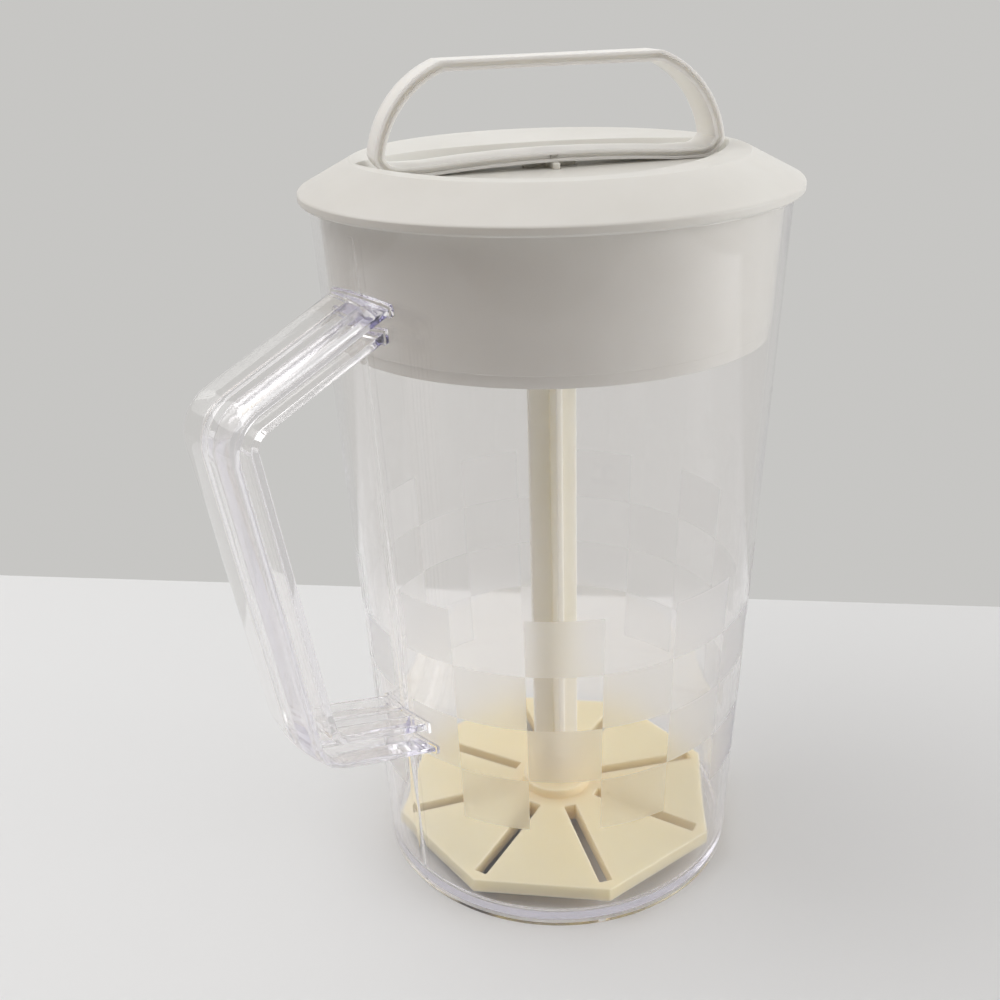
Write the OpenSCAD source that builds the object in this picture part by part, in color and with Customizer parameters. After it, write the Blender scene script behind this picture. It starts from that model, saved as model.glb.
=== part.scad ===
// Two-quart clear jug with a lift-off lid and a hand-worked stirring plunger.
// Millimetres, +Z up, origin on the jug's axis at its resting face, handle towards -X.

/* [Jug] */
// Height of the jug from its foot to its rim
jug_h = 213.5; // [180:0.5:250]
// Outer radius at the rim
rim_r = 66.5; // [58:0.5:80]
// Outer radius at the foot
base_r = 57.9; // [50:0.1:66]
// Thickness of the jug's wall
wall = 2.2; // [1.6:0.1:3]
// Thickness of the jug's floor
floor_t = 2.6; // [2:0.1:4]
// Height of the foot ring under the floor
foot_h = 1.4; // [0.8:0.1:3]
// Width of the foot ring
foot_w = 3.4; // [2.5:0.1:6]
// Radius inside the jug between floor and wall
corner_r = 3; // [2:0.25:6]

/* [Pouring lip] */
// Outer radius of the lip's gutter
lip_r = 17; // [13:0.5:22]
// How far the lip stands out past the rim
lip_reach = 7; // [4:0.5:10]
// How far below the rim the lip leaves the wall
lip_drop = 32; // [24:1:45]

/* [Handle] */
// Width of the handle's outer flange
handle_w = 26; // [20:0.5:32]
// Width of the inner flange, next to the fingers
handle_inner_w = 20.6; // [16:0.2:25]
// Depth of the handle's section, outer crest to inner face
handle_depth = 9.8; // [8:0.1:12]
// Rise of the outer flange's crest above its edges
crest_rise = 1.5; // [0.8:0.1:2.5]
// Thickness of the outer flange at its edges
outer_flange_t = 1.6; // [1.2:0.1:3]
// Thickness of the inner flange
inner_flange_t = 2.4; // [1.5:0.1:3]
// Thickness of the web between the flanges
handle_web_t = 5; // [3:0.25:8]
// Outer radius of the handle's two bends
bend_r = 14; // [11:0.5:20]
// Step by which the bends stand proud of the straight runs
bend_proud = 0.1; // [0.08:0.02:0.3]
// Distance from the rim down to the upper arm's crest at the wall
upper_root_drop = 17.9; // [14:0.1:26]
// Slope of the upper arm below the horizontal
upper_slope = 23.4; // [15:0.1:35]
// Reach of the upper corner from the wall
handle_reach = 48.3; // [40:0.1:60]
// Height of the lower arm's crest at the wall
lower_root_z = 58.4; // [45:0.1:75]
// Slope of the lower arm, rising away from the wall
lower_slope = 17.5; // [5:0.5:25]
// Lean of the grip between the arms, inwards going down
grip_lean = 8.6; // [0:0.1:15]
// Thickness of the collars where the arms meet the wall
pad_t = 0.9; // [0.6:0.1:2]
// Border of the collars around the arms
pad_border = 0.6; // [0.4:0.1:1.2]

/* [Lid] */
// Turn of the lid and plunger on the jug, from the handle's plane
lid_turn = -25.5; // [-90:0.5:90]
// How far the lid's flange stands out past the jug's rim
flange_over = 2.8; // [0.5:0.1:4]
// Thickness of the flange at its edge
flange_edge = 3; // [2:0.1:4]
// Width of the conical shoulder between flange and crown
shoulder_w = 14.5; // [8:0.1:20]
// Height of the crown above the flange's edge
crown_rise = 7.2; // [5:0.1:9]
// Wall thickness of the lid
lid_t = 2.2; // [1.6:0.1:2.8]
// Depth of the skirt inside the jug
skirt_h = 37.5; // [28:0.5:48]
// Height of the lead-in step at the skirt's lower edge
lead_h = 3.4; // [2:0.1:5]
// Depth of the lead-in step
lead_d = 0.5; // [0.3:0.05:0.8]
// Clearance between the skirt and the jug's wall
lid_clear = 0.3; // [0.2:0.05:0.6]
// Fall of the crown's top from its edge to the recess
dish_d = 2.2; // [1:0.1:2.6]
// Margin between the crown's edge and the ends of its boat-shaped recess
recess_margin = 1.2; // [0.8:0.1:4]
// Half width of the recess
recess_half_w = 37; // [30:0.5:44]
// Depth of the recess
recess_d = 4; // [3:0.1:5.5]
// Draft of the recess wall, top to bottom
recess_draft = 1.4; // [0.8:0.1:2.5]
// Width of the pouring port in the skirt
port_w = 30; // [20:0.5:40]
// Height of the pouring port
port_h = 20; // [12:0.5:26]
// Outer radius of the rod guide under the crown
guide_r = 11.5; // [10:0.25:15]
// Length of the rod guide
guide_h = 9; // [6:0.5:14]
// Clearance between the rod and its guide
guide_clear = 0.35; // [0.3:0.05:0.6]

/* [Grip] */
// Gap between the ends of the recess and the grip loop
grip_end_gap = 4; // [1:0.1:8]
// Height of the grip loop at its ends
grip_h = 28.5; // [25:0.1:40]
// Width of the grip across its plane
grip_w = 13; // [11:0.5:16]
// Thickness of the grip's strap
grip_t = 2.7; // [2.4:0.1:5]
// Radius of the grip's shoulders
shoulder_r = 29.5; // [24:0.5:34]
// Height of the shoulders' centre above the grip's feet
shoulder_z = 0.8; // [0:0.1:4]
// Radius of the grip's lower corners
grip_corner_r = 7; // [5:0.25:9]
// Rise of the bottom bar at its middle
grip_arch = 1.5; // [0.8:0.1:2]
// Width of the groove round the strap's edges
groove_w = 1.1; // [0.7:0.1:1.5]
// Depth of the groove on each side
groove_d = 1.7; // [0.8:0.1:3]
// Gap between the grip's feet and the recess floor
grip_gap = 0.2; // [0.1:0.05:0.5]

/* [Rod and plate] */
// Width of the rod across its fins
rod_w = 15; // [12:0.25:17]
// Thickness of a fin
fin_t = 2; // [1.6:0.1:3]
// Width of the tenons at the rod's ends
tenon_w = 10; // [7:0.25:11.5]
// Depth of the upper tenon in the grip
grip_tenon = 1.8; // [1.4:0.1:2.2]
// Depth of the lower tenon in the plate's hub
plate_tenon = 7; // [4:0.25:9]
// Gap round a pressed-in tenon
tenon_gap = 0.05; // [0.02:0.01:0.1]
// Gap between the plate's corners and the jug's wall
plate_gap = 1.2; // [1:0.1:5]
// Height of the mixing plate at its rim
plate_h = 4.8; // [4:0.2:8]
// Thickness of the plate's skin, rim and slot walls
plate_skin = 1.8; // [1.4:0.1:2.4]
// Gap between the plate and the jug's floor
plate_lift = 2; // [1.4:0.1:3]
// Rise of the plate's top from its rim to the hub
plate_rise = 1.8; // [0.8:0.1:3]
// Radius of the hub at the plate
hub_r = 11.8; // [10.5:0.1:14]
// Height of the hub above the plate's rim
hub_h = 5; // [3:0.25:8]
// Width of a slot
slot_w = 4; // [2.5:0.25:6]
// Gap between the hub and the slots
slot_start = 3.4; // [1.5:0.1:6]
// Bridge between a slot's end and the plate's corner
slot_bridge = 4; // [3:0.25:8]

/* [Hidden] */
$fn = 96;

CORNERS = 8;                       // corners and slots of the mixing plate
FAR = 200;                         // reach of a cutting shape beyond the part
EDGE = 0.6;                        // small chamfer on moulded edges
OVERLAP = 0.5;                     // how far a run reaches into a bend
SEAT = 0.1;                        // play where one piece rests on another
taper = (rim_r - base_r) / jug_h;  // widening of the jug per millimetre of height
floor_z = foot_h + floor_t;
flange_r = rim_r + flange_over;
crown_r = flange_r - shoulder_w;
recess_half_l = crown_r - recess_margin;
dish_r = recess_half_w - 3;
grip_half_l = recess_half_l - grip_end_gap;
crown_z = jug_h + flange_edge + crown_rise;
recess_z = crown_z - recess_d;
grip_z = recess_z + grip_gap;
bar_z = grip_z + grip_arch;
plate_z = floor_z + plate_lift;
plate_top = plate_z + plate_h;
hub_top = plate_top + hub_h;
plate_r = base_r + taper * plate_z - wall - plate_gap;
skirt_z = jug_h - skirt_h;

function outer_r(z) = base_r + taper * z;
function inner_r(z) = outer_r(z) - wall;
function skirt_r(z) = inner_r(z) - lid_clear;

// Handle path: corners on the outer crest, x away from the axis
upper_wall_x = outer_r(jug_h - upper_root_drop);
lower_wall_x = outer_r(lower_root_z);
upper_corner = [upper_wall_x + handle_reach,
                jug_h - upper_root_drop - handle_reach * tan(upper_slope)];
beta_upper = 90 + upper_slope;
beta_grip = 180 + grip_lean;
beta_lower = 270 - lower_slope;
grip_run = (upper_corner[1] - lower_root_z
            - (upper_corner[0] - lower_wall_x) * tan(lower_slope))
           / (cos(grip_lean) - sin(grip_lean) * tan(lower_slope));
lower_reach = upper_corner[0] - grip_run * sin(grip_lean) - lower_wall_x;

// Point that lies a distance along a heading from a corner
function along(p, beta, d) = [p[0] + d * sin(beta), p[1] + d * cos(beta)];
function tangent_len(b0, b1) = bend_r * tan((b1 - b0) / 2);

// Solid inside a surface that follows the jug's taper, grown outwards
module taper_solid(grow) {
    cylinder(h = jug_h, r1 = base_r + grow, r2 = rim_r + grow);
}

// Leaning gutter of the pouring lip, thinner by inset
module lip_gutter(inset) {
    foot = outer_r(jug_h - lip_drop);
    lean = atan2(rim_r + lip_reach - foot, lip_drop);
    translate([foot, 0, jug_h - lip_drop]) rotate([0, lean, 0])
        translate([-lip_r, 0, -lip_r])
            cylinder(h = lip_drop + 2 * lip_r, r = lip_r - inset);
}

// Outside of the lip: the part of the gutter under the rim
module lip_outside() {
    intersection() {
        lip_gutter(0);
        translate([0, -FAR / 2, 0]) cube([FAR, FAR, jug_h]);
    }
}

// Profile of the jug's inside, with its rounded floor corner
module jug_inside() {
    rotate_extrude() {
        difference() {
            polygon([[0, floor_z], [inner_r(floor_z), floor_z],
                     [inner_r(jug_h + wall), jug_h + wall], [0, jug_h + wall]]);
            translate([inner_r(floor_z), floor_z])
                difference() {
                    translate([-corner_r, -corner_r]) square([2 * corner_r, 2 * corner_r]);
                    translate([-corner_r, corner_r]) circle(r = corner_r);
                    translate([-2 * corner_r, -corner_r]) square([corner_r, 4 * corner_r]);
                }
        }
    }
}

module jug_body() {
    color([0.93, 0.93, 0.96, 0.35])
    difference() {
        union() {
            rotate_extrude()
                polygon([[0, 0], [base_r - EDGE, 0], [outer_r(EDGE), EDGE],
                         [outer_r(jug_h - EDGE / 2), jug_h - EDGE / 2],
                         [rim_r - EDGE / 2, jug_h], [0, jug_h]]);
            lip_outside();
        }
        jug_inside();
        lip_gutter(wall);
        translate([0, 0, -foot_h]) cylinder(h = 2 * foot_h, r = base_r - foot_w);
    }
}

// Section of the handle: x inwards from the crest, y across, grown all round
module handle_section(grow) {
    flange_in = crest_rise + outer_flange_t + grow;
    crest_r = (pow(handle_w / 2, 2) + pow(crest_rise, 2)) / (2 * crest_rise);
    in_t = inner_flange_t + 2 * grow;
    in_w = handle_inner_w + 2 * grow;
    intersection() {
        translate([crest_r, 0]) circle(r = crest_r + grow, $fn = 180);
        translate([-grow, -handle_w / 2 - grow]) square([flange_in + grow, handle_w + 2 * grow]);
    }
    translate([crest_rise, -handle_web_t / 2 - grow])
        square([handle_depth - crest_rise - inner_flange_t / 2, handle_web_t + 2 * grow]);
    translate([handle_depth - inner_flange_t - grow, -in_w / 2])
        polygon([[0, 0], [in_t - EDGE, 0], [in_t, EDGE],
                 [in_t, in_w - EDGE], [in_t - EDGE, in_w], [0, in_w]]);
}

// Straight run of the handle along +Z, overlapping what it meets at its ends
module handle_run(len) {
    translate([0, 0, -OVERLAP]) linear_extrude(height = len + 2 * OVERLAP) handle_section(0);
}

// Run, then a bend inwards that stands a little proud of it, then what follows
module handle_turn(len, turn) {
    handle_run(len);
    translate([bend_r, 0, len]) {
        mirror([1, 0, 0]) rotate([90, 0, 0])
            rotate_extrude(angle = turn)
                translate([bend_r, 0]) mirror([1, 0]) handle_section(bend_proud);
        rotate([0, turn, 0]) translate([-bend_r, 0, 0]) children();
    }
}

// Low collar on the wall round the root of an arm that runs from a point
module root_collar(p, beta, len) {
    intersection() {
        taper_solid(pad_t);
        translate([p[0], 0, p[1]]) rotate([0, beta, 0])
            linear_extrude(height = len) handle_section(pad_border);
    }
}

module jug_handle() {
    t_up = tangent_len(beta_upper, beta_grip);
    t_low = tangent_len(beta_grip, beta_lower);
    up_len = handle_reach / cos(upper_slope) + bend_r;
    low_len = lower_reach / cos(lower_slope) + bend_r;
    root = along(upper_corner, beta_upper, -up_len);
    color([0.86, 0.85, 0.93, 0.45])
    rotate([0, 0, 180])
    difference() {
        union() {
            translate([root[0], 0, root[1]]) rotate([0, beta_upper, 0])
                handle_turn(up_len - t_up, beta_grip - beta_upper)
                handle_turn(grip_run - t_up - t_low, beta_lower - beta_grip)
                handle_run(low_len - t_low);
            root_collar(root, beta_upper, up_len);
            root_collar(along(upper_corner, beta_grip, grip_run), beta_lower, low_len);
        }
        taper_solid(0);
    }
}

// Boat-shaped prism of two crossing arcs, drafted, growing by a wall
module boat(grow, depth) {
    arc_r = (pow(recess_half_l, 2) + pow(recess_half_w, 2)) / (2 * recess_half_w);
    shift = arc_r - recess_half_w;
    slope = recess_draft / recess_d;
    intersection_for (side = [-1, 1])
        translate([0, side * shift, crown_z - depth])
            cylinder(h = depth + lid_t, r1 = arc_r + grow - slope * depth,
                     r2 = arc_r + grow + slope * lid_t, $fn = 180);
}

// Cross of two fins, for the rod and what it passes through
module cross(width, t, h) {
    for (a = [0, 90]) rotate([0, 0, a])
        translate([-width / 2, -t / 2, 0]) cube([width, t, h]);
}

// Outside of the lid: skirt, flange and conical crown with a dished top
module lid_outside() {
    lead_z = skirt_z + lead_h;
    seat_z = jug_h + SEAT;
    flange_top = jug_h + flange_edge;
    rotate_extrude()
        polygon([[0, skirt_z], [skirt_r(skirt_z) - lead_d, skirt_z],
                 [skirt_r(lead_z) - lead_d, lead_z], [skirt_r(lead_z), lead_z],
                 [skirt_r(seat_z), seat_z], [flange_r - EDGE, seat_z],
                 [flange_r, seat_z + EDGE], [flange_r, flange_top - EDGE],
                 [flange_r - EDGE, flange_top], [crown_r, crown_z],
                 [dish_r, crown_z - dish_d], [0, crown_z - dish_d]]);
}

// Hollow under the lid, which leaves one wall all round
module lid_hollow() {
    shoulder = skirt_r(jug_h) - lid_t;
    rise = crown_rise * (flange_r - shoulder) / shoulder_w;
    shoulder_t = 1.2 * lid_t;
    difference() {
        rotate_extrude()
            polygon([[0, skirt_z - lid_t], [skirt_r(skirt_z) - lid_t, skirt_z - lid_t],
                     [shoulder, jug_h], [shoulder, jug_h + flange_edge + rise - shoulder_t],
                     [crown_r, crown_z - lid_t], [dish_r, crown_z - dish_d - lid_t],
                     [0, crown_z - dish_d - lid_t]]);
        boat(lid_t, recess_d + lid_t);
        translate([0, 0, recess_z - guide_h]) cylinder(h = guide_h, r = guide_r);
    }
}

module lid() {
    color([0.93, 0.92, 0.89])
    rotate([0, 0, lid_turn])
    difference() {
        lid_outside();
        lid_hollow();
        boat(0, recess_d);
        translate([0, 0, recess_z - FAR / 2])
            cross(rod_w + 2 * guide_clear, fin_t + 2 * guide_clear, FAR);
        translate([crown_r - lid_t, -port_w / 2, skirt_z + (skirt_h - port_h) / 2])
            cube([FAR, port_w, port_h]);
    }
}

// Outline of the grip in its plane, inset all round; y from the grip's feet
module grip_outline(inset) {
    centre_x = grip_half_l - shoulder_r;
    arch_r = (pow(centre_x + shoulder_r / 2, 2) + pow(grip_arch, 2)) / (2 * grip_arch);
    corner_x = grip_half_l - grip_corner_r;
    difference() {
        union() {
            for (side = [-1, 1])
                translate([side * centre_x, shoulder_z]) circle(r = shoulder_r - inset, $fn = 180);
            translate([-centre_x, 0]) square([2 * centre_x, grip_h]);
        }
        translate([-FAR / 2, grip_h - inset]) square([FAR, FAR]);
        translate([-FAR / 2, inset - FAR]) square([FAR, FAR]);
        translate([0, grip_arch - arch_r]) circle(r = arch_r + inset, $fn = 360);
        for (side = [0, 1]) mirror([side, 0])
            translate([corner_x, grip_corner_r])
                difference() {
                    translate([0, -2 * grip_corner_r]) square(2 * grip_corner_r);
                    circle(r = grip_corner_r - inset);
                }
    }
}

module plunger_grip() {
    color([0.94, 0.93, 0.90])
    rotate([0, 0, lid_turn])
    difference() {
        translate([0, grip_w / 2, grip_z]) rotate([90, 0, 0])
            linear_extrude(height = grip_w)
                difference() {
                    grip_outline(0);
                    grip_outline(grip_t);
                }
        for (side = [0, 1]) mirror([0, side, 0])
            translate([0, FAR + grip_w / 2 - groove_d, grip_z]) rotate([90, 0, 0])
                linear_extrude(height = FAR)
                    difference() {
                        grip_outline((grip_t - groove_w) / 2);
                        grip_outline((grip_t + groove_w) / 2);
                    }
        translate([0, 0, bar_z - grip_tenon])
            cross(tenon_w + 2 * tenon_gap, fin_t + 2 * tenon_gap, 2 * grip_tenon);
    }
}

module plunger_rod() {
    color([0.93, 0.88, 0.76])
    rotate([0, 0, lid_turn]) {
        translate([0, 0, hub_top]) cross(rod_w, fin_t, bar_z - SEAT - hub_top);
        translate([0, 0, hub_top - plate_tenon])
            cross(tenon_w, fin_t, bar_z - hub_top + plate_tenon + grip_tenon);
    }
}

// Pocket under the plate between two neighbouring slots
module plate_pocket() {
    half = 180 / CORNERS;
    edge = plate_r * cos(half) - plate_skin;
    beside = slot_w / 2 + plate_skin;
    rotate([0, 0, half]) translate([0, 0, -plate_skin])
        linear_extrude(height = plate_h)
            difference() {
                intersection() {
                    translate([0, -plate_r]) square([edge, 2 * plate_r]);
                    rotate(half) translate([0, -FAR - beside]) square(FAR);
                    rotate(-half) translate([0, beside]) square(FAR);
                }
                circle(r = hub_r + plate_skin);
            }
}

// Straight slot from the hub towards a corner
module plate_slot() {
    start = hub_r + slot_start;
    translate([start, -slot_w / 2, -plate_h])
        cube([plate_r - slot_bridge - start, slot_w, 3 * plate_h]);
}

// What lies above the plate's top on one flat side, falling from the hub to the rim
module plate_fall() {
    half = 180 / CORNERS;
    edge = plate_r * cos(half);
    inner = hub_r * cos(half) - EDGE;
    rotate([0, 0, half]) translate([edge, 0, plate_h]) rotate([0, atan(plate_rise / (edge - inner)), 0])
        translate([-FAR / 2, -FAR / 2, 0]) cube([FAR, FAR, plate_r]);
}

module mixing_plate() {
    color([0.93, 0.84, 0.66])
    rotate([0, 0, lid_turn]) translate([0, 0, plate_z])
    difference() {
        union() {
            difference() {
                cylinder(h = plate_h + plate_rise, r = plate_r, $fn = CORNERS);
                for (k = [0 : CORNERS - 1]) rotate([0, 0, k * 360 / CORNERS]) plate_fall();
            }
            cylinder(h = plate_h + hub_h, r1 = hub_r + EDGE, r2 = hub_r - EDGE);
        }
        for (k = [0 : CORNERS - 1]) rotate([0, 0, k * 360 / CORNERS]) {
            plate_slot();
            plate_pocket();
        }
        translate([0, 0, plate_h + hub_h - plate_tenon])
            cross(tenon_w + 2 * tenon_gap, fin_t + 2 * tenon_gap, plate_h + hub_h);
    }
}

jug_body();
jug_handle();
lid();
plunger_grip();
plunger_rod();
mixing_plate();
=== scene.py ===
import logging
import math
from dataclasses import dataclass
from enum import Enum
from typing import Callable, List, Optional, Sequence, Tuple, Union

import bpy
from mathutils import Matrix, Vector


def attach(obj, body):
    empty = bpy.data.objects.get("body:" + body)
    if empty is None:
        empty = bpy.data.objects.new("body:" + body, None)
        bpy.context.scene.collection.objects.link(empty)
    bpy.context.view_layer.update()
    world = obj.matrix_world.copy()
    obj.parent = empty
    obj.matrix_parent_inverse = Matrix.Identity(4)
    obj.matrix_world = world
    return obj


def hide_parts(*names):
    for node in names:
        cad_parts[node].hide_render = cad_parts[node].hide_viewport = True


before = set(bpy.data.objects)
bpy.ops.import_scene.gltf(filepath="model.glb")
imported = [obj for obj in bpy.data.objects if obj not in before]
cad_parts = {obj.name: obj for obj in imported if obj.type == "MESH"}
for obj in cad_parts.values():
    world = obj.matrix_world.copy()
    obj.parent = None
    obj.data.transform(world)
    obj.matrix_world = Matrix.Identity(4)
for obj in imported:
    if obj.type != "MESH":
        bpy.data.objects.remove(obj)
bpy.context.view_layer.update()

LOG = logging.getLogger("pitcher")
Colour = Tuple[float, float, float]
Place = Tuple[float, float, float]
Value = Union[float, Sequence[float], bpy.types.NodeSocket]
MM = 0.001
MERGE = 1e-6
GREY_LOW, GREY_HIGH = 0.3, 0.7


class Tone(Enum):
    """Plastics of the pitcher, by what they colour."""

    CLEAR = "clear_plastic"
    WHITE = "white_plastic"
    CREAM = "cream_plastic"


class Graph:
    """Adds nodes to the tree of one new material and links them."""

    def __init__(self, name: str) -> None:
        """Starts an empty material.

        Args:
            name: Name of the material.
        """
        self.material = bpy.data.materials.new(name)
        self.material.use_nodes = True
        self.tree = self.material.node_tree
        self.tree.nodes.clear()
        self.output = self.tree.nodes.new("ShaderNodeOutputMaterial")

    def feed(self, socket: bpy.types.NodeSocket, value: Value) -> None:
        """Links a socket to another, or sets its constant.

        Args:
            socket: Input that gets the value.
            value: Output socket, number or list of numbers.
        """
        if isinstance(value, bpy.types.NodeSocket):
            self.tree.links.new(value, socket)
        else:
            socket.default_value = value

    def add(self, kind: str, inputs: Optional[dict] = None,
            **settings: object) -> bpy.types.Node:
        """Adds a node.

        Args:
            kind: Type name of the node.
            inputs: Values of its inputs, by name or number.
            **settings: Properties of the node.

        Returns:
            The new node.
        """
        node = self.tree.nodes.new(kind)
        for key, value in settings.items():
            setattr(node, key, value)
        for key, value in (inputs or {}).items():
            self.feed(node.inputs[key], value)
        return node

    def math(self, operation: str, a: Value, b: Value = 0.0,
             c: Value = 0.0) -> bpy.types.NodeSocket:
        """Adds a math node.

        Args:
            operation: Name of the operation.
            a: First value.
            b: Second value.
            c: Third value.

        Returns:
            The result's socket.
        """
        node = self.add("ShaderNodeMath", operation=operation)
        for slot, value in zip(node.inputs, (a, b, c)):
            self.feed(slot, value)
        return node.outputs[0]

    def place(self) -> bpy.types.NodeSocket:
        """Gives the socket of Object coordinates."""
        return self.add("ShaderNodeTexCoord").outputs["Object"]

    def noise(self, place: Value, scale: float, detail: float = 2.0) -> bpy.types.NodeSocket:
        """Adds a noise texture.

        Args:
            place: Socket of its coordinates.
            scale: Waves per metre.
            detail: Octaves.

        Returns:
            The socket of its grey value.
        """
        node = self.add("ShaderNodeTexNoise",
                        {"Vector": place, "Scale": scale, "Detail": detail})
        return node.outputs["Fac"]

    def remap(self, value: Value, low: float, high: float) -> bpy.types.NodeSocket:
        """Maps the middle of a grey value's range to two numbers.

        Args:
            value: Socket of the grey value.
            low: Result at the low grey.
            high: Result at the high grey.

        Returns:
            The result's socket.
        """
        node = self.add("ShaderNodeMapRange",
                        {"Value": value, "From Min": GREY_LOW, "From Max": GREY_HIGH,
                         "To Min": low, "To Max": high})
        return node.outputs[0]

    def blend(self, factor: Value, first: Colour, second: Colour) -> bpy.types.NodeSocket:
        """Mixes two colours.

        Args:
            factor: Share of the second colour.
            first: Colour at 0.
            second: Colour at 1.

        Returns:
            The mixed colour's socket.
        """
        node = self.add("ShaderNodeMix", data_type="RGBA")
        self.feed(node.inputs["Factor"], factor)
        self.feed(node.inputs[6], (*first, 1.0))
        self.feed(node.inputs[7], (*second, 1.0))
        return node.outputs[2]


class RoomGraph(Graph):
    """Adds nodes to the tree of a new world and links them."""

    def __init__(self, name: str) -> None:
        """Starts an empty world.

        Args:
            name: Name of the world.
        """
        self.world = bpy.data.worlds.new(name)
        self.world.use_nodes = True
        self.tree = self.world.node_tree
        self.tree.nodes.clear()
        self.output = self.tree.nodes.new("ShaderNodeOutputWorld")


@dataclass(frozen=True)
class MouldedFinish:
    """Opaque satin plastic with a moulded grain and slightly uneven colour."""

    name: str
    colour: Colour
    aged: Colour
    roughness: float = 0.42
    grain: float = 1500.0
    glow: float = 0.5
    glow_depth: float = 4.0 * MM
    glow_mix: Colour = (1.0, 0.95, 0.88)
    ior: float = 1.5
    patch_scale: float = 28.0
    wear_scale: float = 140.0
    smoother: float = 0.05
    rougher: float = 0.07
    wave_scale: float = 55.0
    wave_height: float = 2.0
    bump: float = 0.12
    bump_depth: float = 0.12 * MM

    def build(self) -> bpy.types.Material:
        """Makes the material.

        Returns:
            The new material.
        """
        graph = Graph(self.name)
        place = graph.place()
        patches = graph.remap(graph.noise(place, self.patch_scale, 4.0), 0.0, 1.0)
        rough = graph.remap(graph.noise(place, self.wear_scale, 3.0),
                            self.roughness - self.smoother, self.roughness + self.rougher)
        grain = graph.noise(place, self.grain, 3.0)
        waves = graph.noise(place, self.wave_scale, 1.0)
        height = graph.math("MULTIPLY_ADD", waves, self.wave_height, grain)
        bump = graph.add("ShaderNodeBump", {"Strength": self.bump, "Distance": self.bump_depth,
                                            "Height": height})
        shader = graph.add("ShaderNodeBsdfPrincipled", {
            "Base Color": graph.blend(patches, self.colour, self.aged), "Roughness": rough,
            "Normal": bump.outputs[0], "IOR": self.ior, "Subsurface Weight": self.glow,
            "Subsurface Radius": self.glow_mix, "Subsurface Scale": self.glow_depth})
        graph.feed(graph.output.inputs["Surface"], shader.outputs[0])
        return graph.material


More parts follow.
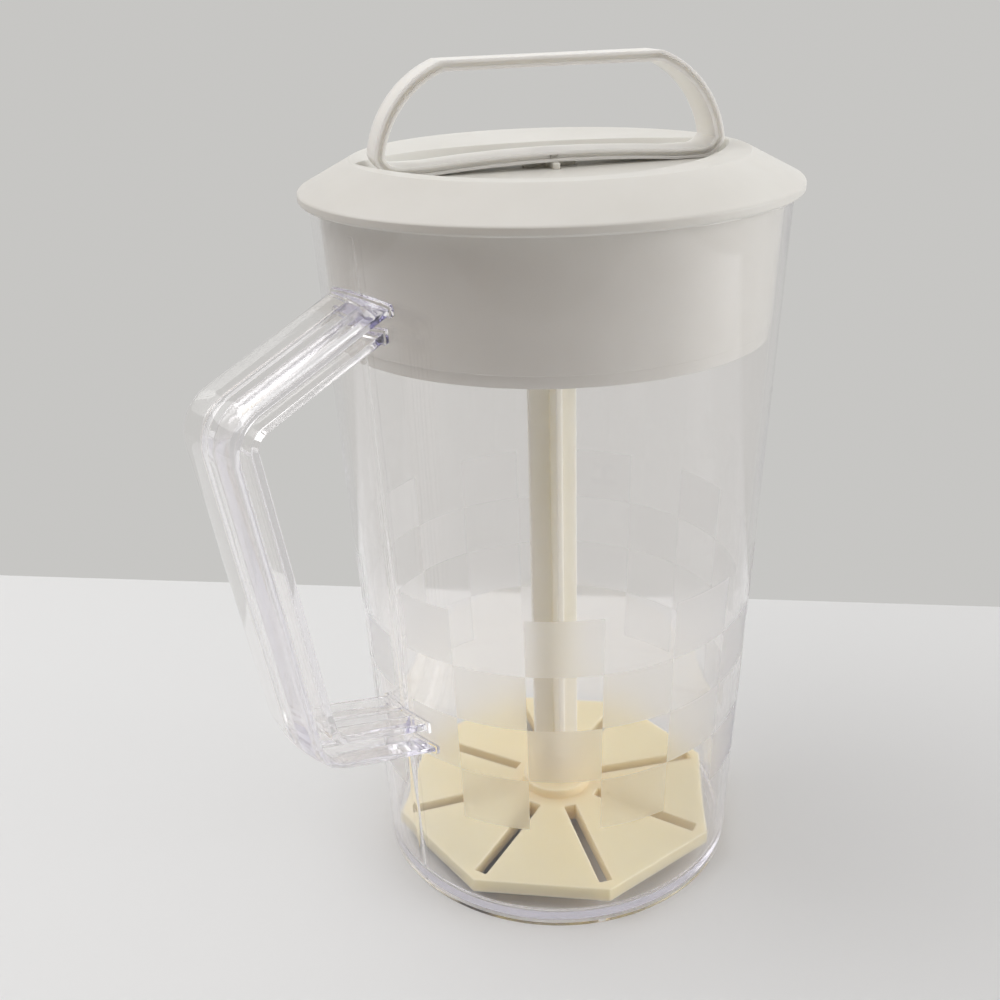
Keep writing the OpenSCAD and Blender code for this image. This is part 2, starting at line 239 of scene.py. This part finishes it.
@dataclass(frozen=True)
class ClearFinish:
    """Clear plastic with a check pattern of frosted cells round the wall."""

    name: str
    tint: Colour
    depth_tint: Colour
    depth_density: float
    ior: float = 1.53
    polish: float = 0.025
    polish_wear: float = 0.03
    wear_scale: float = 90.0
    frost: float = 0.26
    haze: float = 0.015
    columns: int = 18
    rows: int = 4
    row_h: float = 18.1 * MM
    top_z: float = 111.0 * MM
    bare_deg: float = 4.0
    foot_r: float = 57.9 * MM
    taper: float = 8.6 / 213.5
    skin: float = 0.8 * MM
    cell_height: float = 0.6
    grain_scale: float = 2600.0
    grain_height: float = 0.25
    flow_scale: float = 22.0
    flow_height: float = 1.2
    bump: float = 0.5
    bump_depth: float = 0.18 * MM
    light_through: float = 0.96

    def on_wall(self, graph: Graph, place: bpy.types.NodeSocket) -> bpy.types.NodeSocket:
        """Makes the mask of the wall's outer skin.

        Args:
            graph: Tree that the nodes go in.
            place: Socket of Object coordinates.

        Returns:
            Socket that is 1 on the wall's outer face.
        """
        axes = graph.add("ShaderNodeSeparateXYZ", {0: place})
        x, y, z = axes.outputs
        radius = graph.math("SQRT", graph.math("MULTIPLY_ADD", x, x, graph.math("MULTIPLY", y, y)))
        face = graph.math("MULTIPLY_ADD", z, self.taper, self.foot_r)
        return graph.math("COMPARE", radius, face, self.skin)

    def cells(self, graph: Graph, place: bpy.types.NodeSocket) -> bpy.types.NodeSocket:
        """Makes the mask of the frosted cells.

        Args:
            graph: Tree that the nodes go in.
            place: Socket of Object coordinates.

        Returns:
            Socket that is 1 in a frosted cell.
        """
        axes = graph.add("ShaderNodeSeparateXYZ", {0: place})
        x, y, z = axes.outputs
        turn = graph.math("ARCTAN2", y, x)
        column = graph.math("FLOOR", graph.math("MULTIPLY", turn, self.columns / (2 * math.pi)))
        level = graph.math("DIVIDE", graph.math("SUBTRACT", self.top_z, z), self.row_h)
        row = graph.math("FLOOR", level)
        odd = graph.math("FLOORED_MODULO", graph.math("ADD", column, row), 2.0)
        below = graph.math("GREATER_THAN", level, 0.0)
        above = graph.math("LESS_THAN", level, float(self.rows))
        off_strip = graph.math("LESS_THAN", graph.math("ABSOLUTE", turn),
                               math.pi - math.radians(self.bare_deg))
        mask = odd
        for part in (below, above, off_strip):
            mask = graph.math("MULTIPLY", mask, part)
        return mask

    def build(self) -> bpy.types.Material:
        """Makes the material.

        Returns:
            The new material.
        """
        graph = Graph(self.name)
        place = graph.place()
        wall = self.on_wall(graph, place)
        frosted = graph.math("MULTIPLY", self.cells(graph, place), wall)
        fine = graph.noise(place, self.grain_scale, 2.0)
        polished = graph.remap(graph.noise(place, self.wear_scale, 3.0),
                               self.polish, self.polish + self.polish_wear)
        rough = graph.math("MULTIPLY_ADD", frosted, self.frost, polished)
        flow = graph.noise(place, self.flow_scale, 1.0)
        grain = graph.math("MULTIPLY", graph.math("MULTIPLY", fine, frosted), self.grain_height)
        height = graph.math("MULTIPLY_ADD", frosted, self.cell_height, grain)
        height = graph.math("ADD", height, graph.math("MULTIPLY", flow, self.flow_height))
        bump = graph.add("ShaderNodeBump", {"Strength": self.bump, "Distance": self.bump_depth,
                                            "Height": height})
        path = graph.add("ShaderNodeLightPath").outputs
        passing = graph.math("MAXIMUM", path["Is Shadow Ray"], path["Is Diffuse Ray"])
        shown = graph.math("MULTIPLY_ADD", passing, -self.light_through, 1.0)
        shader = graph.add("ShaderNodeBsdfPrincipled", {
            "Base Color": (*self.tint, 1.0), "Roughness": rough, "IOR": self.ior,
            "Transmission Weight": graph.math("MULTIPLY_ADD", frosted, -self.haze, 1.0),
            "Alpha": shown, "Normal": bump.outputs[0]})
        graph.feed(graph.output.inputs["Surface"], shader.outputs[0])
        depth = graph.add("ShaderNodeVolumeAbsorption",
                          {"Color": (*self.depth_tint, 1.0), "Density": self.depth_density})
        graph.feed(graph.output.inputs["Volume"], depth.outputs[0])
        return graph.material


def clear_selection() -> None:
    """Leaves edit mode and deselects every object."""
    if bpy.context.object and bpy.context.object.mode != "OBJECT":
        bpy.ops.object.mode_set(mode="OBJECT")
    bpy.ops.object.select_all(action="DESELECT")


def take(piece: bpy.types.Object) -> bpy.types.Object:
    """Selects one object alone and makes it active.

    Args:
        piece: The object.

    Returns:
        The same object.
    """
    clear_selection()
    piece.hide_set(False)
    piece.select_set(True)
    bpy.context.view_layer.objects.active = piece
    return piece


def pick_faces(piece: bpy.types.Object,
               test: Callable[[bpy.types.MeshPolygon], bool]) -> int:
    """Selects faces in code and goes to edit mode with them.

    Args:
        piece: Object whose faces are picked.
        test: Says whether a face is picked.

    Returns:
        How many faces were picked.
    """
    take(piece)
    bpy.ops.object.mode_set(mode="EDIT")
    bpy.ops.mesh.select_mode(type="FACE")
    bpy.ops.mesh.select_all(action="DESELECT")
    bpy.ops.object.mode_set(mode="OBJECT")
    count = 0
    for face in piece.data.polygons:
        face.select = bool(test(face))
        count += face.select
    bpy.ops.object.mode_set(mode="EDIT")
    return count


def pick_edges(piece: bpy.types.Object, test: Callable[[Vector, Vector], bool]) -> int:
    """Selects edges by their two ends and goes to edit mode with them.

    Args:
        piece: Object whose edges are picked.
        test: Says whether an edge between two points is picked.

    Returns:
        How many edges were picked.
    """
    take(piece)
    bpy.ops.object.mode_set(mode="EDIT")
    bpy.ops.mesh.select_mode(type="EDGE")
    bpy.ops.mesh.select_all(action="DESELECT")
    bpy.ops.object.mode_set(mode="OBJECT")
    points = piece.data.vertices
    count = 0
    for edge in piece.data.edges:
        edge.select = bool(test(points[edge.vertices[0]].co, points[edge.vertices[1]].co))
        count += edge.select
    bpy.ops.object.mode_set(mode="EDIT")
    return count


def settle(piece: bpy.types.Object) -> bpy.types.Object:
    """Puts an object's place into its mesh.

    Args:
        piece: The object.

    Returns:
        The same object.
    """
    take(piece)
    bpy.ops.object.transform_apply(location=True, rotation=True, scale=True)
    return piece


def apply_modifier(piece: bpy.types.Object, kind: str, **settings: object) -> None:
    """Adds a modifier and applies it.

    Args:
        piece: Object that gets it.
        kind: Type of the modifier.
        **settings: Its properties.
    """
    take(piece)
    modifier = piece.modifiers.new(kind.title(), kind)
    for key, value in settings.items():
        setattr(modifier, key, value)
    bpy.ops.object.modifier_apply(modifier=modifier.name)


def combine(piece: bpy.types.Object, other: bpy.types.Object, operation: str) -> None:
    """Joins, cuts or clips a solid by another, which is used up.

    Args:
        piece: Solid that changes.
        other: Solid that is used.
        operation: UNION, DIFFERENCE or INTERSECT.
    """
    apply_modifier(piece, "BOOLEAN", object=other, operation=operation, solver="EXACT")
    bpy.data.objects.remove(other)


def smooth(piece: bpy.types.Object, degrees: float) -> None:
    """Shades a piece smooth, except across sharp edges.

    Args:
        piece: The piece.
        degrees: Least angle of a sharp edge.
    """
    take(piece)
    bpy.ops.object.shade_smooth_by_angle(angle=math.radians(degrees))
    apply_modifier(piece, "WEIGHTED_NORMAL", keep_sharp=True, weight=100)


def near(value: float, target: float, gap: float = 0.05 * MM) -> bool:
    """Says whether two lengths are within a gap."""
    return abs(value - target) < gap


def out(point: Vector) -> float:
    """Gives a point's distance from the jug's axis."""
    return math.hypot(point.x, point.y)


def dress(piece: bpy.types.Object, finish: bpy.types.Material, body: str,
          nodes: Sequence[str]) -> None:
    """Gives a piece its finish, its body and the solids that it stands for.

    Args:
        piece: The finished piece.
        finish: Its material.
        body: Body that it moves with.
        nodes: Names of the solids that it replaces.
    """
    piece.data.materials.clear()
    piece.data.materials.append(finish)
    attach(piece, body)
    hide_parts(*nodes)
    LOG.info("%s: %d faces, on %s", piece.name, len(piece.data.polygons), body)


@dataclass
class ClearJug:
    """Clear jug with its pouring lip and the handle moulded on it."""

    height: float = 213.5 * MM
    rim_r: float = 66.5 * MM
    foot_r: float = 57.9 * MM
    wall: float = 2.2 * MM
    floor_z: float = 4.0 * MM
    foot_h: float = 1.4 * MM
    foot_w: float = 3.4 * MM
    corner_r: float = 3.0 * MM
    lip_r: float = 17.0 * MM
    lip_reach: float = 7.0 * MM
    lip_drop: float = 32.0 * MM
    section_w: float = 26.0 * MM
    section_in_w: float = 20.6 * MM
    section_d: float = 9.8 * MM
    crest: float = 1.5 * MM
    flange_out: float = 1.6 * MM
    flange_in: float = 2.4 * MM
    web: float = 5.0 * MM
    bend_r: float = 14.0 * MM
    upper_drop: float = 17.9 * MM
    upper_slope: float = 23.4
    reach: float = 48.3 * MM
    lower_z: float = 58.4 * MM
    lower_slope: float = 17.5
    lean: float = 8.6
    collar: float = 0.9 * MM
    collar_border: float = 0.6 * MM
    edge_round: float = 0.45 * MM
    web_fillet: float = 0.7 * MM
    foot_round: float = 0.9 * MM
    rim_round: float = 0.6 * MM
    lip_cut: float = 0.1 * MM
    bead_w: float = 3.0 * MM
    bead_h: float = 0.16 * MM
    bead_foot: float = 2.5 * MM
    bead_drop: float = 3.0 * MM
    around: int = 240
    lip_sides: int = 128
    bead_sides: int = 96
    bend_steps: int = 14
    crest_steps: int = 9
    sharp_deg: float = 32.0

    def wall_r(self, z: float) -> float:
        """Gives the wall's outer radius at a height."""
        return self.foot_r + (self.rim_r - self.foot_r) * z / self.height

    def cone(self, name: str, grow: float) -> bpy.types.Object:
        """Adds a solid cone that follows the wall's taper.

        Args:
            name: Name of the object.
            grow: How far it lies outside the wall's outer face.

        Returns:
            The cone.
        """
        clear_selection()
        bpy.ops.mesh.primitive_cone_add(
            vertices=self.around, radius1=self.foot_r + grow, radius2=self.rim_r + grow,
            depth=self.height, location=(0, 0, self.height / 2))
        blank = bpy.context.object
        blank.name = name
        return settle(blank)

    def shell(self) -> bpy.types.Object:
        """Models the jug without lip and handle.

        Returns:
            The shell.
        """
        jug = self.cone("clear_jug", 0.0)
        pick_faces(jug, lambda face: face.normal.z > 0.9)
        bpy.ops.mesh.inset(thickness=self.wall)
        bpy.ops.mesh.extrude_region_move(
            TRANSFORM_OT_translate={"value": (0, 0, self.floor_z - self.height)})
        shrink = (self.wall_r(self.floor_z) - self.wall) / (self.rim_r - self.wall)
        bpy.ops.transform.resize(value=(shrink, shrink, 1), center_override=(0, 0, self.floor_z))
        pick_faces(jug, lambda face: face.normal.z < -0.9 and face.center.z < MM)
        bpy.ops.mesh.inset(thickness=self.foot_w)
        bpy.ops.mesh.extrude_region_move(TRANSFORM_OT_translate={"value": (0, 0, self.foot_h)})
        self.round_rings(jug)
        return jug

    def round_rings(self, jug: bpy.types.Object) -> None:
        """Rounds the ring edges of floor, foot and rim.

        Args:
            jug: The shell.
        """
        inner_floor = self.wall_r(self.floor_z) - self.wall
        inside_rim = self.rim_r - 1.5 * self.wall
        pick_edges(jug, lambda a, b: all(near(p.z, self.floor_z) and near(out(p), inner_floor)
                                         for p in (a, b)))
        bpy.ops.mesh.bevel(offset=self.corner_r, segments=6)
        pick_edges(jug, lambda a, b: all(near(p.z, 0.0) and near(out(p), self.foot_r)
                                         for p in (a, b)))
        bpy.ops.mesh.bevel(offset=self.foot_round, segments=4)
        pick_edges(jug, lambda a, b: all(near(p.z, self.height) and out(p) > inside_rim
                                         for p in (a, b)) and near(out(a), out(b)))
        bpy.ops.mesh.bevel(offset=self.rim_round, segments=3)
        bpy.ops.object.mode_set(mode="OBJECT")

    def gutter(self, inset: float) -> bpy.types.Object:
        """Adds the leaning cylinder of the pouring lip.

        Args:
            inset: How much thinner than the lip's outside it is.

        Returns:
            The cylinder, cut off at the rim where it is the outside.
        """
        foot = self.wall_r(self.height - self.lip_drop)
        lean = math.atan2(self.rim_r + self.lip_reach - foot, self.lip_drop)
        depth = self.lip_drop + 2 * self.lip_r
        start = Vector((foot, 0, self.height - self.lip_drop))
        middle = Matrix.Rotation(lean, 3, "Y") @ Vector((-self.lip_r, 0, depth / 2 - self.lip_r))
        clear_selection()
        bpy.ops.mesh.primitive_cylinder_add(
            vertices=self.lip_sides, radius=self.lip_r - inset, depth=depth,
            location=start + middle, rotation=(0, lean, 0))
        gutter = settle(bpy.context.object)
        if inset == 0.0:
            bpy.ops.object.mode_set(mode="EDIT")
            bpy.ops.mesh.select_all(action="SELECT")
            bpy.ops.mesh.bisect(plane_co=(0, 0, self.height - self.lip_cut), plane_no=(0, 0, 1),
                                clear_outer=True, use_fill=True)
            bpy.ops.object.mode_set(mode="OBJECT")
        return gutter

    def outline(self, grow: float = 0.0) -> List[Tuple[float, float]]:
        """Gives the handle's section, with x inwards from the crest and y across.

        Args:
            grow: How much larger than the handle it is, all round.

        Returns:
            Points round the section.
        """
        half, half_in = self.section_w / 2 + grow, self.section_in_w / 2 + grow
        half_web = self.web / 2 + grow
        crest_r = ((self.section_w / 2) ** 2 + self.crest ** 2) / (2 * self.crest)
        soft, fillet = self.edge_round, self.web_fillet
        under = self.crest + self.flange_out + grow
        inner, face = self.section_d - self.flange_in - grow, self.section_d + grow
        side: List[Tuple[float, float]] = []
        for step in range(self.crest_steps + 1):
            y = (half - soft) * step / self.crest_steps
            side.append((crest_r - math.sqrt((crest_r + grow) ** 2 - y ** 2), y))
        # Rounded edge of the outer flange, fillets of the web, and the inner flange.
        side += [(self.crest + 0.35 * soft, half - 0.25 * soft), (self.crest + soft, half),
                 (under - soft, half), (under - 0.25 * soft, half - 0.25 * soft),
                 (under, half - soft), (under, half_web + fillet),
                 (under + 0.3 * fillet, half_web + 0.3 * fillet), (under + fillet, half_web),
                 (inner - fillet, half_web), (inner - 0.3 * fillet, half_web + 0.3 * fillet),
                 (inner, half_web + fillet), (inner, half_in - soft),
                 (inner + 0.25 * soft, half_in - 0.25 * soft), (inner + soft, half_in),
                 (face - 1.3 * soft, half_in), (face - 0.4 * soft, half_in - 0.4 * soft),
                 (face, half_in - 1.3 * soft)]
        return side + [(x, -y) for x, y in reversed(side[1:])]

    def section(self, name: str, grow: float, start: Vector,
                heading: float) -> bpy.types.Object:
        """Adds the flat section of the handle at a place, and selects it for extruding.

        Args:
            name: Name of the object.
            grow: How much larger than the handle the section is.
            start: Point of the crest, with x outwards.
            heading: Direction that the section faces, from +Z towards outwards.

        Returns:
            The flat section, in edit mode.
        """
        points = self.outline(grow)
        clear_selection()
        bpy.ops.mesh.primitive_circle_add(vertices=len(points), fill_type="NGON")
        flat = bpy.context.object
        flat.name = name
        inward = self.along(heading + 90)
        for vertex, (x, y) in zip(flat.data.vertices, points):
            spot = start + inward * x
            vertex.co = (-spot.x, -y, spot.z)
        pick_faces(flat, lambda face: True)
        return flat

    def push(self, heading: float, length: float) -> Vector:
        """Extrudes what is selected along a heading.

        Args:
            heading: Direction in the handle's plane, from +Z towards outwards.
            length: How far.

        Returns:
            The step, with x outwards.
        """
        step = self.along(heading) * length
        bpy.ops.mesh.extrude_region_move(
            TRANSFORM_OT_translate={"value": (-step.x, 0, step.z)})
        return step

    def close(self, piece: bpy.types.Object) -> bpy.types.Object:
        """Closes an extruded bar at its open end.

        Args:
            piece: The bar, in edit mode.

        Returns:
            The bar as a solid, in object mode.
        """
        bpy.ops.mesh.select_all(action="SELECT")
        bpy.ops.mesh.remove_doubles(threshold=MERGE)
        bpy.ops.mesh.fill_holes(sides=0)
        bpy.ops.mesh.normals_make_consistent(inside=False)
        bpy.ops.object.mode_set(mode="OBJECT")
        return piece

    def handle(self) -> bpy.types.Object:
        """Models the handle: two arms, the grip between them with round bends, two collars.

        Returns:
            The handle, towards -X, reaching into the jug's wall.
        """
        upper, heading, run = self.corner(), 90 + self.upper_slope, self.run()
        turns = (90 - self.upper_slope + self.lean, 90 - self.lean - self.lower_slope)
        cuts = [self.bend_r * math.tan(math.radians(turn) / 2) for turn in turns]
        first = self.reach / math.cos(math.radians(self.upper_slope)) + self.bend_r
        lower = upper + self.along(180 + self.lean) * run
        gap = lower.x - self.wall_r(self.lower_z)
        last = gap / math.cos(math.radians(self.lower_slope)) + self.bend_r
        start = upper - self.along(heading) * first
        collars = ((start, heading, first), (lower, 270 - self.lower_slope, last))
        bar = self.section("handle_bar", 0.0, start, heading)
        place = start
        runs = ((first - cuts[0], turns[0]), (run - sum(cuts), turns[1]), (last - cuts[1], 0.0))
        for length, turn in runs:
            place = place + self.push(heading, length)
            if turn:
                centre = place + self.along(heading + 90) * self.bend_r
                bpy.ops.mesh.spin(steps=self.bend_steps, angle=math.radians(turn),
                                  center=(-centre.x, 0, centre.z), axis=(0, 1, 0))
                heading += turn
                place = centre - self.along(heading + 90) * self.bend_r
        self.close(bar)
        for point, way, length in collars:
            combine(bar, self.root_collar(point, way, length), "UNION")
        combine(bar, self.cone("wall_middle", -self.wall / 2), "DIFFERENCE")
        return bar

    def root_collar(self, point: Vector, heading: float,
                    length: float) -> bpy.types.Object:
        """Models the low collar on the wall round one root of the handle.

        Args:
            point: Point of the arm's crest, with x outwards.
            heading: Direction of the arm from there.
            length: Length of the arm.

        Returns:
            The collar, reaching into the jug.
        """
        collar = self.section("root_collar", self.collar_border, point, heading)
        self.push(heading, length)
        self.close(collar)
        combine(collar, self.cone("collar_face", self.collar), "INTERSECT")
        return collar

    def bead(self) -> bpy.types.Object:
        """Models the low bead down the wall in the handle's plane.

        Returns:
            The bead, reaching into the wall.
        """
        top = self.height - self.bead_drop
        middle, length = (top + self.bead_foot) / 2, top - self.bead_foot
        round_r = ((self.bead_w / 2) ** 2 + self.bead_h ** 2) / (2 * self.bead_h)
        taper = math.atan2(self.rim_r - self.foot_r, self.height)
        clear_selection()
        inward = round_r - self.bead_h - self.wall_r(middle)
        bpy.ops.mesh.primitive_cylinder_add(
            vertices=self.bead_sides, radius=round_r, depth=length,
            rotation=(0, -taper, 0), location=(inward, 0, middle))
        bead = settle(bpy.context.object)
        bead.name = "wall_bead"
        combine(bead, self.cone("bead_root", -self.wall / 2), "DIFFERENCE")
        return bead

    def along(self, heading: float) -> Vector:
        """Gives the unit step along a heading, from +Z towards outwards."""
        return Vector((math.sin(math.radians(heading)), 0, math.cos(math.radians(heading))))

    def corner(self) -> Vector:
        """Gives the sharp upper corner of the handle's crest, with x outwards."""
        z = self.height - self.upper_drop
        drop = self.reach * math.tan(math.radians(self.upper_slope))
        return Vector((self.wall_r(z) + self.reach, 0, z - drop))

    def run(self) -> float:
        """Gives the length of the grip between the crest's two sharp corners."""
        upper, slope = self.corner(), math.tan(math.radians(self.lower_slope))
        lean = math.radians(self.lean)
        rise = upper.z - self.lower_z - (upper.x - self.wall_r(self.lower_z)) * slope
        return rise / (math.cos(lean) - math.sin(lean) * slope)

    def build(self, finish: bpy.types.Material) -> bpy.types.Object:
        """Models and dresses the jug with its handle, as one clear moulding.

        Args:
            finish: Clear material.

        Returns:
            The piece.
        """
        jug = self.shell()
        lip = self.gutter(0.0)
        combine(lip, self.cone("lip_middle", -self.wall / 2), "DIFFERENCE")
        combine(jug, lip, "UNION")
        combine(jug, self.gutter(self.wall), "DIFFERENCE")
        combine(jug, self.bead(), "UNION")
        combine(jug, self.handle(), "UNION")
        smooth(jug, self.sharp_deg)
        dress(jug, finish, "jug", ("jug_body", "jug_handle"))
        return jug


@dataclass
class SoftenedNode:
    """Copy of a solid with its moulded edges rounded."""

    node: str
    name: str
    body: str
    tone: Tone
    edge: float = 0.35 * MM
    steps: int = 2
    flat_deg: float = 0.5
    bevel_deg: float = 18.0
    sharp_deg: float = 35.0

    def build(self, finish: bpy.types.Material) -> bpy.types.Object:
        """Copies the solid, rounds its edges and dresses it.

        Args:
            finish: Its material.

        Returns:
            The piece.
        """
        clear_selection()
        take(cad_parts[self.node])
        bpy.ops.object.duplicate()
        piece = bpy.context.object
        piece.name = self.name
        for key in list(piece.keys()):
            del piece[key]
        piece.parent = None
        pick_faces(piece, lambda face: True)
        bpy.ops.mesh.remove_doubles(threshold=MERGE)
        bpy.ops.mesh.dissolve_limited(angle_limit=math.radians(self.flat_deg))
        bpy.ops.object.mode_set(mode="OBJECT")
        apply_modifier(piece, "BEVEL", width=self.edge, segments=self.steps,
                       limit_method="ANGLE", angle_limit=math.radians(self.bevel_deg),
                       use_clamp_overlap=True, miter_outer="MITER_ARC")
        smooth(piece, self.sharp_deg)
        dress(piece, finish, self.body, (self.node,))
        return piece


@dataclass(frozen=True)
class Lamp:
    """Round area lamp."""

    name: str
    place: Place
    size: float
    power: float
    seen_through_clear: bool = True

    def hang(self, aim: Place) -> None:
        """Adds the lamp to the scene.

        Args:
            aim: Point that it shines at.
        """
        data = bpy.data.lights.new(self.name, "AREA")
        data.shape, data.size, data.energy = "DISK", self.size, self.power
        lamp = bpy.data.objects.new(self.name, data)
        lamp.location = self.place
        lamp.visible_transmission = self.seen_through_clear
        way = Vector(aim) - Vector(self.place)
        lamp.rotation_euler = way.to_track_quat("-Z", "Y").to_euler()
        bpy.context.scene.collection.objects.link(lamp)


@dataclass
class Studio:
    """Pale table, soft light and the camera at the photograph's angle."""

    eye: Place = (-0.2200, -0.2409, 0.2654)
    look: Place = (0.5802, 0.7038, -0.4099)
    roll: float = -0.0331
    lens: float = 41.22
    sensor: float = 36.0
    nearest: float = 0.01
    table: Colour = (0.755, 0.765, 0.77)
    table_rough: float = 0.6
    table_blank: float = 6.0
    backdrop: Colour = (0.57, 0.565, 0.55)
    edge_normal: Tuple[float, float] = (0.733, 0.680)
    edge_off: float = 0.155
    front_off: float = 0.60
    end_off: float = 0.80
    gap: float = 0.4 * MM
    bright_side: Place = (0.85, 0.0, 0.45)
    bright: Colour = (0.92, 0.92, 0.915)
    dim: Colour = (0.09, 0.048, 0.026)
    falloff: float = 2.0
    aim: Place = (0.0, 0.0, 0.1)
    bounces: int = 80
    lamps: Tuple[Lamp, ...] = (
        Lamp("overhead", (-0.36, 0.36, 1.3), 1.2, 7.8),
        Lamp("left_fill", (-0.8, 1.0, 1.2), 1.2, 5.0),
        Lamp("right_fill", (1.36, -1.50, 0.5), 1.2, 17.0, seen_through_clear=False))

    def camera(self) -> None:
        """Sets the camera."""
        data = bpy.data.cameras.new("photo_camera")
        data.lens, data.sensor_width, data.clip_start = self.lens, self.sensor, self.nearest
        eye = bpy.data.objects.new("photo_camera", data)
        bpy.context.scene.collection.objects.link(eye)
        forward = Vector(self.look).normalized()
        right = forward.cross(Vector((0, 0, 1))).normalized()
        up = right.cross(forward)
        side = math.cos(self.roll) * right + math.sin(self.roll) * up
        top = side.cross(forward)
        turn = Matrix((side, top, -forward)).transposed()
        eye.matrix_world = Matrix.Translation(self.eye) @ turn.to_4x4()
        bpy.context.scene.camera = eye

    def floor(self) -> None:
        """Adds the table, whose back edge lies where the photograph shows it."""
        clear_selection()
        bpy.ops.mesh.primitive_plane_add(size=self.table_blank, location=(0, 0, -self.gap))
        plane = bpy.context.object
        plane.name = "table_top"
        normal = Vector((*self.edge_normal, 0)).normalized()
        across = Vector((-normal.y, normal.x, 0))
        sides = ((normal, self.edge_off), (-normal, self.front_off),
                 (across, self.end_off), (-across, self.end_off))
        bpy.ops.object.mode_set(mode="EDIT")
        for side, off in sides:
            bpy.ops.mesh.select_all(action="SELECT")
            bpy.ops.mesh.bisect(plane_co=side * off, plane_no=side, clear_outer=True)
        bpy.ops.object.mode_set(mode="OBJECT")
        graph = Graph("table")
        shader = graph.add("ShaderNodeBsdfPrincipled", {"Base Color": (*self.table, 1.0),
                                                        "Roughness": self.table_rough})
        graph.feed(graph.output.inputs["Surface"], shader.outputs[0])
        plane.data.materials.append(graph.material)

    def room(self) -> None:
        """Makes the world: a plain backdrop to look at, and light that is dimmer in front."""
        graph = RoomGraph("room")
        path = graph.add("ShaderNodeLightPath").outputs
        through = graph.math("MAXIMUM", path["Is Glossy Ray"], path["Is Transmission Ray"])
        seen = graph.math("MAXIMUM", path["Is Camera Ray"], through)
        way = graph.add("ShaderNodeTexCoord").outputs["Generated"]
        half_side = Vector(self.bright_side).normalized() / 2
        side = graph.add("ShaderNodeVectorMath", {0: way, 1: half_side}, operation="DOT_PRODUCT")
        share = graph.math("POWER", graph.math("ADD", side.outputs["Value"], 0.5), self.falloff)
        light = graph.add("ShaderNodeBackground",
                          {"Color": graph.blend(share, self.dim, self.bright)})
        shown = graph.add("ShaderNodeBackground", {"Color": (*self.backdrop, 1.0)})
        mix = graph.add("ShaderNodeMixShader",
                        {0: seen, 1: light.outputs[0], 2: shown.outputs[0]})
        graph.feed(graph.output.inputs["Surface"], mix.outputs[0])
        bpy.context.scene.world = graph.world

    def build(self) -> None:
        """Sets the plain view, light paths long enough for clear walls, and the studio."""
        bpy.context.scene.view_settings.view_transform = "Standard"
        paths = bpy.context.scene.cycles
        paths.max_bounces = self.bounces
        paths.transmission_bounces = self.bounces
        paths.glossy_bounces = self.bounces
        self.camera()
        self.floor()
        for lamp in self.lamps:
            lamp.hang(self.aim)
        self.room()


def main() -> None:
    """Builds every piece and the studio."""
    logging.basicConfig(level=logging.INFO, format="%(name)s: %(message)s")
    Studio().build()
    clear = ClearFinish(
        "clear_plastic_look", (1.0, 0.99, 0.982), (0.80, 0.785, 0.91), 8.0).build()
    # The lid's copy of the white plastic is darker and less translucent than the grip's: painted
    # shade, for the shade on the lid's skirt.
    white = MouldedFinish(
        "white_lid_shaded_look", (0.775, 0.77, 0.735), (0.725, 0.715, 0.675), glow=0.25).build()
    # The grip's copy of the same white plastic is lighter and more translucent: painted light,
    # lifting the shade in its groove and under its bar.
    bright = MouldedFinish(
        "white_grip_lit_look", (0.93, 0.92, 0.88), (0.90, 0.885, 0.84), glow=0.6).build()
    cream = MouldedFinish(
        "cream_plastic_look", (0.995, 0.805, 0.535), (0.975, 0.765, 0.48), 0.45,
        glow=0.8, glow_depth=6 * MM).build()
    # The rod's copy of the cream plastic is paler and less yellow than the plate's: painted light,
    # for the whiter look that light gives the rod.
    pale = MouldedFinish(
        "pale_rod_lit_look", (0.91, 0.88, 0.79), (0.89, 0.85, 0.73), 0.40, glow=0.8).build()
    ClearJug().build(clear)
    pieces = (
        (SoftenedNode("lid", "white_lid", "lid", Tone.WHITE), white),
        (SoftenedNode("plunger_grip", "bail_grip", "plunger", Tone.WHITE, 0.45 * MM), bright),
        (SoftenedNode("plunger_rod", "finned_rod", "plunger", Tone.CREAM, 0.3 * MM), pale),
        (SoftenedNode("mixing_plate", "slotted_plate", "plunger", Tone.CREAM, 0.4 * MM), cream))
    for piece, finish in pieces:
        piece.build(finish)


if __name__ == "__main__":
    main()
